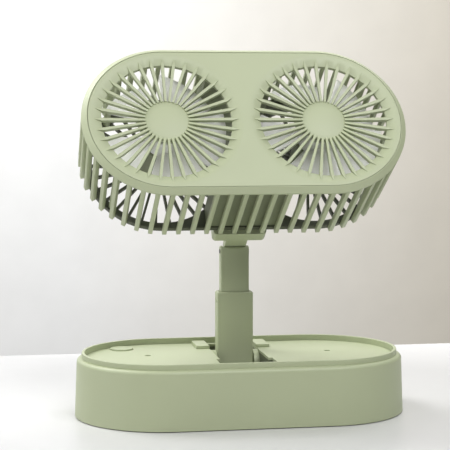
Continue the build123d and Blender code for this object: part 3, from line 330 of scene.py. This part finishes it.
# ---- Where the head is --------
def head_place():
    """The head's own frame: x along the oval, y up the face, z out of it, from the face's centre."""
    spins = {joint["name"]: joint for joint in frame["joints"]}
    left = Vector(spins["fan_left_spin"]["pos_m"])
    right = Vector(spins["fan_right_spin"]["pos_m"])
    outward = Vector(spins["fan_left_spin"]["axis"]).normalized()
    along = (right - left).normalized()
    up = outward.cross(along)
    matrix = Matrix((along, up, outward)).transposed().to_4x4()
    matrix.translation = (left + right) / 2
    return matrix, (right - left).length / 2


HEAD, HUB_X = head_place()


# ---- Fans --------
HUB_RADIUS = 15.0 * MM
BLADE_TIP = 44.0 * MM
ROTOR_FRONT = 11.0 * MM
ROTOR_HEIGHT = 17.0 * MM
BLADE_SWEEP = 58.0
BLADE_RISE = 15.0 * MM
BLADE_EDGE = 0.35 * MM
BLADE_THICKNESS = 1.2 * MM
HUB_EDGE = 0.7 * MM


def blade():
    """A wide pitched blade: a radial edge swept round the hub, each step of it lifted a little."""
    bpy.ops.object.select_all(action="DESELECT")
    bpy.ops.mesh.primitive_plane_add(size=1.0, location=(0.0, 0.0, 0.0))
    piece = bpy.context.object
    start_editing(piece)
    pick(piece, "VERT", lambda point: point.y < 0.0)
    bpy.ops.mesh.delete(type="VERT")
    bpy.ops.mesh.select_all(action="SELECT")
    reach = BLADE_TIP - HUB_RADIUS + 1.0 * MM
    bpy.ops.transform.resize(value=(reach, 1.0, 1.0))
    bpy.ops.transform.translate(value=(BLADE_TIP - reach / 2, -0.5, 0.0))
    bpy.ops.mesh.subdivide(number_cuts=5)
    steps = 12
    sweep = math.radians(BLADE_SWEEP)
    bpy.ops.mesh.spin(steps=steps, angle=sweep, center=(0.0, 0.0, 0.0), axis=(0.0, 0.0, 1.0))
    for step in range(steps + 1):
        share = step / steps
        turn = share * sweep
        near = sweep / steps / 3
        pick(piece, "VERT", lambda point: abs(math.atan2(abs(point.y), point.x) - turn) < near)
        lift = BLADE_RISE * (share - 0.5 + 0.10 * math.sin(math.pi * share))
        bpy.ops.transform.translate(value=(0.0, 0.0, -lift))
    bpy.ops.mesh.select_all(action="SELECT")
    bpy.ops.mesh.normals_make_consistent(inside=False)
    stop_editing()
    modify(piece, "SOLIDIFY", thickness=BLADE_THICKNESS, offset=0.0)
    round_edges(piece, BLADE_EDGE, angle=50.0)
    middle = Matrix.Translation((0.0, 0.0, -ROTOR_FRONT - ROTOR_HEIGHT / 2))
    place(piece, middle @ spun(-BLADE_SWEEP / 2))
    return piece


def rotor_hub():
    """The cup round the motor's nose, with a rounded front edge and a shallow ring pressed in its front."""
    bpy.ops.object.select_all(action="DESELECT")
    middle = (0.0, 0.0, -ROTOR_FRONT - ROTOR_HEIGHT / 2)
    bpy.ops.mesh.primitive_cylinder_add(vertices=72, radius=HUB_RADIUS, depth=ROTOR_HEIGHT, location=middle)
    hub = bpy.context.object
    bpy.ops.object.transform_apply(location=True, rotation=True, scale=True)
    start_editing(hub)
    front = -ROTOR_FRONT - 0.01 * MM
    pick(hub, "FACE", lambda point: point.z > front)
    bpy.ops.mesh.inset(thickness=2.0 * MM, depth=0.0)
    bpy.ops.mesh.inset(thickness=0.4 * MM, depth=-0.5 * MM)
    bpy.ops.mesh.inset(thickness=5.5 * MM, depth=0.0)
    bpy.ops.mesh.inset(thickness=0.4 * MM, depth=0.5 * MM)
    back = -ROTOR_FRONT - ROTOR_HEIGHT + 0.01 * MM
    pick(hub, "FACE", lambda point: point.z < back)
    bpy.ops.mesh.inset(thickness=1.6 * MM, depth=0.0)
    bpy.ops.mesh.inset(thickness=0.0, depth=-ROTOR_HEIGHT + 2.6 * MM)
    stop_editing()
    round_edges(hub, HUB_EDGE, 3)
    return hub


def rotor(side, first_angle):
    turns = [spun(first_angle + 72.0 * index) for index in range(5)]
    blades = copies(blade(), turns, "blades")
    name = "fan_" + side + "_moulded"
    piece = join([rotor_hub(), blades], name)
    offset = -HUB_X if side == "left" else HUB_X
    place(piece, HEAD @ Matrix.Translation((offset, 0.0, 0.0)))
    smooth(piece, 40.0)
    fit_out(piece, MATERIALS["white_fan"], "fan_" + side, "fan_" + side)


# ---- Grilles --------
GRILLE_HUB = 16.2 * MM
GRILLE_DEPTH = 2.0 * MM
RIB_DEPTH = 3.6 * MM
RIB_WIDTH = 1.6 * MM
RIB_HEIGHT = 2.8 * MM
RIB_EDGE = 0.42 * MM
DISC_THICKNESS = 3.0 * MM
DISC_DOME = 1.4 * MM
DISC_EDGE = 0.5 * MM
RIB_TIP = 51.0 * MM
RIB_SHOULDER = 45.9 * MM
RIB_COUNT = 36


def rib():
    """A rib with a ridged top, widening away from the hub and then drawn to a point on the dish."""
    bpy.ops.object.select_all(action="DESELECT")
    length = RIB_SHOULDER - GRILLE_HUB + 1.0 * MM
    start = RIB_SHOULDER - length / 2
    bpy.ops.mesh.primitive_cube_add(size=1.0, location=(start, 0.0, -RIB_DEPTH))
    piece = bpy.context.object
    piece.scale = (length, RIB_WIDTH, RIB_HEIGHT)
    bpy.ops.object.transform_apply(location=True, rotation=True, scale=True)
    start_editing(piece)
    outer = RIB_SHOULDER - 1.0 * MM
    pick(piece, "FACE", lambda point: point.x > outer)
    bpy.ops.transform.resize(value=(1.0, 1.4, 1.0))
    tip_reach = (RIB_TIP - RIB_SHOULDER, 0.0, 0.0)
    bpy.ops.mesh.extrude_region_move(TRANSFORM_OT_translate={"value": tip_reach})
    bpy.ops.transform.resize(value=(1.0, 0.04, 1.0))
    pick(piece, "VERT", lambda point: point.x > RIB_TIP - 0.1 * MM and point.z > -RIB_DEPTH)
    bpy.ops.transform.translate(value=(0.0, 0.0, 1.10 * MM))
    pick(piece, "VERT", lambda point: point.x > RIB_TIP - 0.1 * MM and point.z < -RIB_DEPTH)
    bpy.ops.transform.translate(value=(0.0, 0.0, 3.3 * MM))
    pick(piece, "VERT", lambda point: abs(point.x - RIB_SHOULDER) < 0.1 * MM and point.z > -RIB_DEPTH)
    bpy.ops.transform.translate(value=(0.0, 0.0, 0.75 * MM))
    pick(piece, "VERT", lambda point: abs(point.x - RIB_SHOULDER) < 0.1 * MM and point.z < -RIB_DEPTH)
    bpy.ops.transform.translate(value=(0.0, 0.0, 0.75 * MM))
    stop_editing()
    round_edges(piece, RIB_EDGE)
    return piece


def grille_hub():
    """The domed disc in the middle of a grille."""
    bpy.ops.object.select_all(action="DESELECT")
    middle = (0.0, 0.0, -GRILLE_DEPTH - 2.9 * MM)
    bpy.ops.mesh.primitive_cylinder_add(vertices=96, radius=GRILLE_HUB, depth=DISC_THICKNESS, location=middle)
    disc = bpy.context.object
    bpy.ops.object.transform_apply(location=True, rotation=True, scale=True)
    start_editing(disc)
    pick(disc, "FACE", lambda point: point.z > -GRILLE_DEPTH - 1.5 * MM)
    ring = GRILLE_HUB / 9
    for step in range(8):
        fall_out = (1.0 - step / 9) ** 2
        fall_in = (1.0 - (step + 1) / 9) ** 2
        bpy.ops.mesh.inset(thickness=ring, depth=DISC_DOME * (fall_out - fall_in))
    stop_editing()
    round_edges(disc, DISC_EDGE, 3)
    return disc


def grille(side):
    step = 360.0 / RIB_COUNT
    ribs = copies(rib(), [spun(step * index) for index in range(RIB_COUNT)], "ribs")
    piece = join([grille_hub(), ribs], "grille_" + side + "_moulded")
    offset = -HUB_X if side == "left" else HUB_X
    place(piece, HEAD @ Matrix.Translation((offset, 0.0, 0.0)))
    smooth(piece, 32.0)
    fit_out(piece, MATERIALS["green_shell"], "head", "grille_" + side)


# ---- Side fins --------
FIN_OUT = 59.8 * MM
FIN_THICK = 3.6 * MM
FIN_WIDE = 3.2 * MM
FIN_TOP = 4.6 * MM
FIN_END = 62.85 * MM
FIN_LEAN = 1.35 * MM
FIN_EDGE = 0.3 * MM
FIN_STEPS = 11
FIN_ARC_STEPS = 18


def fin():
    """A straight fin facing +x that leans in towards its free end, with softened corners."""
    bpy.ops.object.select_all(action="DESELECT")
    middle = (FIN_OUT - FIN_THICK / 2, 0.0, -(FIN_TOP + FIN_END) / 2)
    bpy.ops.mesh.primitive_cube_add(size=1.0, location=middle)
    piece = bpy.context.object
    piece.scale = (FIN_THICK, FIN_WIDE, FIN_END - FIN_TOP)
    bpy.ops.object.transform_apply(location=True, rotation=True, scale=True)
    start_editing(piece)
    pick(piece, "VERT", lambda point: point.z < -FIN_END / 2)
    bpy.ops.transform.translate(value=(-FIN_LEAN, 0.0, 0.0))
    stop_editing()
    round_edges(piece, FIN_EDGE)
    return piece


def side_fins():
    pitch = 2 * HUB_X / FIN_STEPS
    spots = []
    for index in range(FIN_STEPS + 1):
        x = (index - FIN_STEPS / 2) * pitch
        spots.append(Matrix.Translation((x, 0.0, 0.0)) @ spun(90.0))
        spots.append(Matrix.Translation((x, 0.0, 0.0)) @ spun(-90.0))
    for index in range(1, FIN_ARC_STEPS):
        angle = 90.0 - 180.0 * index / FIN_ARC_STEPS
        spots.append(Matrix.Translation((HUB_X, 0.0, 0.0)) @ spun(angle))
        spots.append(Matrix.Translation((-HUB_X, 0.0, 0.0)) @ spun(180.0 - angle))
    piece = copies(fin(), spots, "side_fins_moulded")
    place(piece, HEAD)
    smooth(piece, 32.0)
    fit_out(piece, MATERIALS["green_shell"], "head", "side_fins")


rotor("left", 49.0)
rotor("right", 24.0)
grille("left")
grille("right")
side_fins()
GREEN = MATERIALS["green_shell"]
for node, body, edge in (
        ("front_frame", "head", 0.35), ("face_plate", "head", 0.2), ("hinge_bracket", "head", 0.4),
        ("outer_tube", "outer_pole", 0.3), ("inner_tube", "inner_pole", 0.25),
        ("base_housing", "base", 0.18), ("deck_plate", "base", 0.25),
        ("rest_block_left", "base", 0.3), ("rest_block_right", "base", 0.3)):
    soften(node, body, GREEN, edge * MM)


# ---- Floor, light and camera --------
def table_top():
    bpy.ops.object.select_all(action="DESELECT")
    bpy.ops.mesh.primitive_plane_add(size=1.0, location=(0.0, -0.70, 0.0))
    top = bpy.context.object
    top.name = "table_top"
    top.scale = (6.0, 1.94, 1.0)
    bpy.ops.object.transform_apply(location=True, rotation=True, scale=True)
    material, tree, shader = new_material("table_white", (0.66, 0.66, 0.66))
    skin(tree, shader, (0.66, 0.66, 0.66), 0.01, (0.34, 0.42), 300.0, 0.00001)
    dress(top, material)


WALL_COOL = (0.86, 0.86, 0.85)
# Painted light falloff: the darker warm tone the wall fades to towards +x.
WALL_WARM_SHADE_TONE = (0.80, 0.75, 0.65)


def wall():
    bpy.ops.object.select_all(action="DESELECT")
    upright = (math.pi / 2, 0.0, 0.0)
    bpy.ops.mesh.primitive_plane_add(size=1.0, location=(0.0, 1.9, 0.6), rotation=upright)
    back = bpy.context.object
    back.name = "back_wall"
    back.scale = (9.0, 5.0, 1.0)
    bpy.ops.object.transform_apply(location=True, rotation=True, scale=True)
    material, tree, shader = new_material("wall_paint_shade_gradient", WALL_COOL)
    paint = skin(tree, shader, WALL_COOL, 0.02, (0.7, 0.8), 200.0, 0.00002)
    # Painted light falloff: the wall colour is blended along x from the bright cool tone to the darker warm one,
    # standing in for light fading across the wall.
    coords = tree.nodes.new("ShaderNodeTexCoord")
    split = tree.nodes.new("ShaderNodeSeparateXYZ")
    along = tree.nodes.new("ShaderNodeMapRange")
    along.inputs["From Min"].default_value = 0.0
    along.inputs["From Max"].default_value = 0.8
    blend = tree.nodes.new("ShaderNodeMix")
    blend.data_type = "RGBA"
    blend.inputs["A"].default_value = (*WALL_COOL, 1.0)
    blend.inputs["B"].default_value = (*WALL_WARM_SHADE_TONE, 1.0)
    tree.links.new(coords.outputs["Object"], split.inputs["Vector"])
    tree.links.new(split.outputs["X"], along.inputs["Value"])
    tree.links.new(along.outputs["Result"], blend.inputs["Factor"])
    tree.links.new(blend.outputs["Result"], paint.inputs["Color"])
    dress(back, material)


def panel_light(name, place, aim, size, power, colour=(1.0, 1.0, 1.0)):
    lamp = bpy.data.lights.new(name, "AREA")
    lamp.shape = "RECTANGLE"
    lamp.size = size[0]
    lamp.size_y = size[1]
    lamp.energy = power
    lamp.color = colour
    holder = bpy.data.objects.new(name, lamp)
    holder.location = place
    toward = Vector(aim) - Vector(place)
    holder.rotation_euler = toward.to_track_quat("-Z", "Y").to_euler()
    bpy.context.scene.collection.objects.link(holder)


# Name, place, aim, panel size in metres and watts.
LAMPS = (
    ("key_left", (-0.55, -0.80, 1.20), (0.0, 0.0, 0.12), (0.8, 0.6), 4.6),
    ("key_right", (0.35, -0.90, 1.20), (0.0, 0.0, 0.12), (0.8, 0.6), 12.8),
    ("back_left", (-0.60, 0.45, 1.00), (0.0, 0.0, 0.05), (0.6, 0.6), 10.5),
    ("back_right", (0.50, 0.45, 1.00), (0.0, 0.0, 0.05), (0.6, 0.6), 4.6),
    ("left_window", (-1.40, -0.30, 0.55), (0.0, 0.0, 0.12), (0.7, 1.0), 5.3),
    ("wall_wash", (-0.30, 0.5, 0.90), (0.2, 1.9, 0.60), (1.4, 0.6), 30.0),
)


def studio():
    world = bpy.data.worlds.new("studio")
    world.use_nodes = True
    tree = world.node_tree
    dim = tree.nodes["Background"]
    dim.inputs["Color"].default_value = (0.92, 0.94, 0.95, 1.0)
    dim.inputs["Strength"].default_value = 0.03
    seen = tree.nodes.new("ShaderNodeBackground")
    seen.inputs["Color"].default_value = (0.84, 0.84, 0.82, 1.0)
    rays = tree.nodes.new("ShaderNodeLightPath")
    choice = tree.nodes.new("ShaderNodeMixShader")
    tree.links.new(rays.outputs["Is Camera Ray"], choice.inputs["Fac"])
    tree.links.new(dim.outputs["Background"], choice.inputs[1])
    tree.links.new(seen.outputs["Background"], choice.inputs[2])
    tree.links.new(choice.outputs["Shader"], tree.nodes["World Output"].inputs["Surface"])
    bpy.context.scene.world = world
    bpy.context.scene.view_settings.view_transform = "Standard"
    for lamp in LAMPS:
        panel_light(*lamp)


def camera():
    lens = bpy.data.cameras.new("camera")
    lens.sensor_width = 36.0
    lens.lens = 118.73
    lens.clip_start = 0.01
    holder = bpy.data.objects.new("camera", lens)
    holder.location = (-0.19506, -1.0498, 0.22192)
    holder.rotation_euler = (math.radians(90.0 - 4.606), 0.0, math.radians(-9.933))
    bpy.context.scene.collection.objects.link(holder)
    bpy.context.scene.camera = holder


table_top()
wall()
studio()
camera()
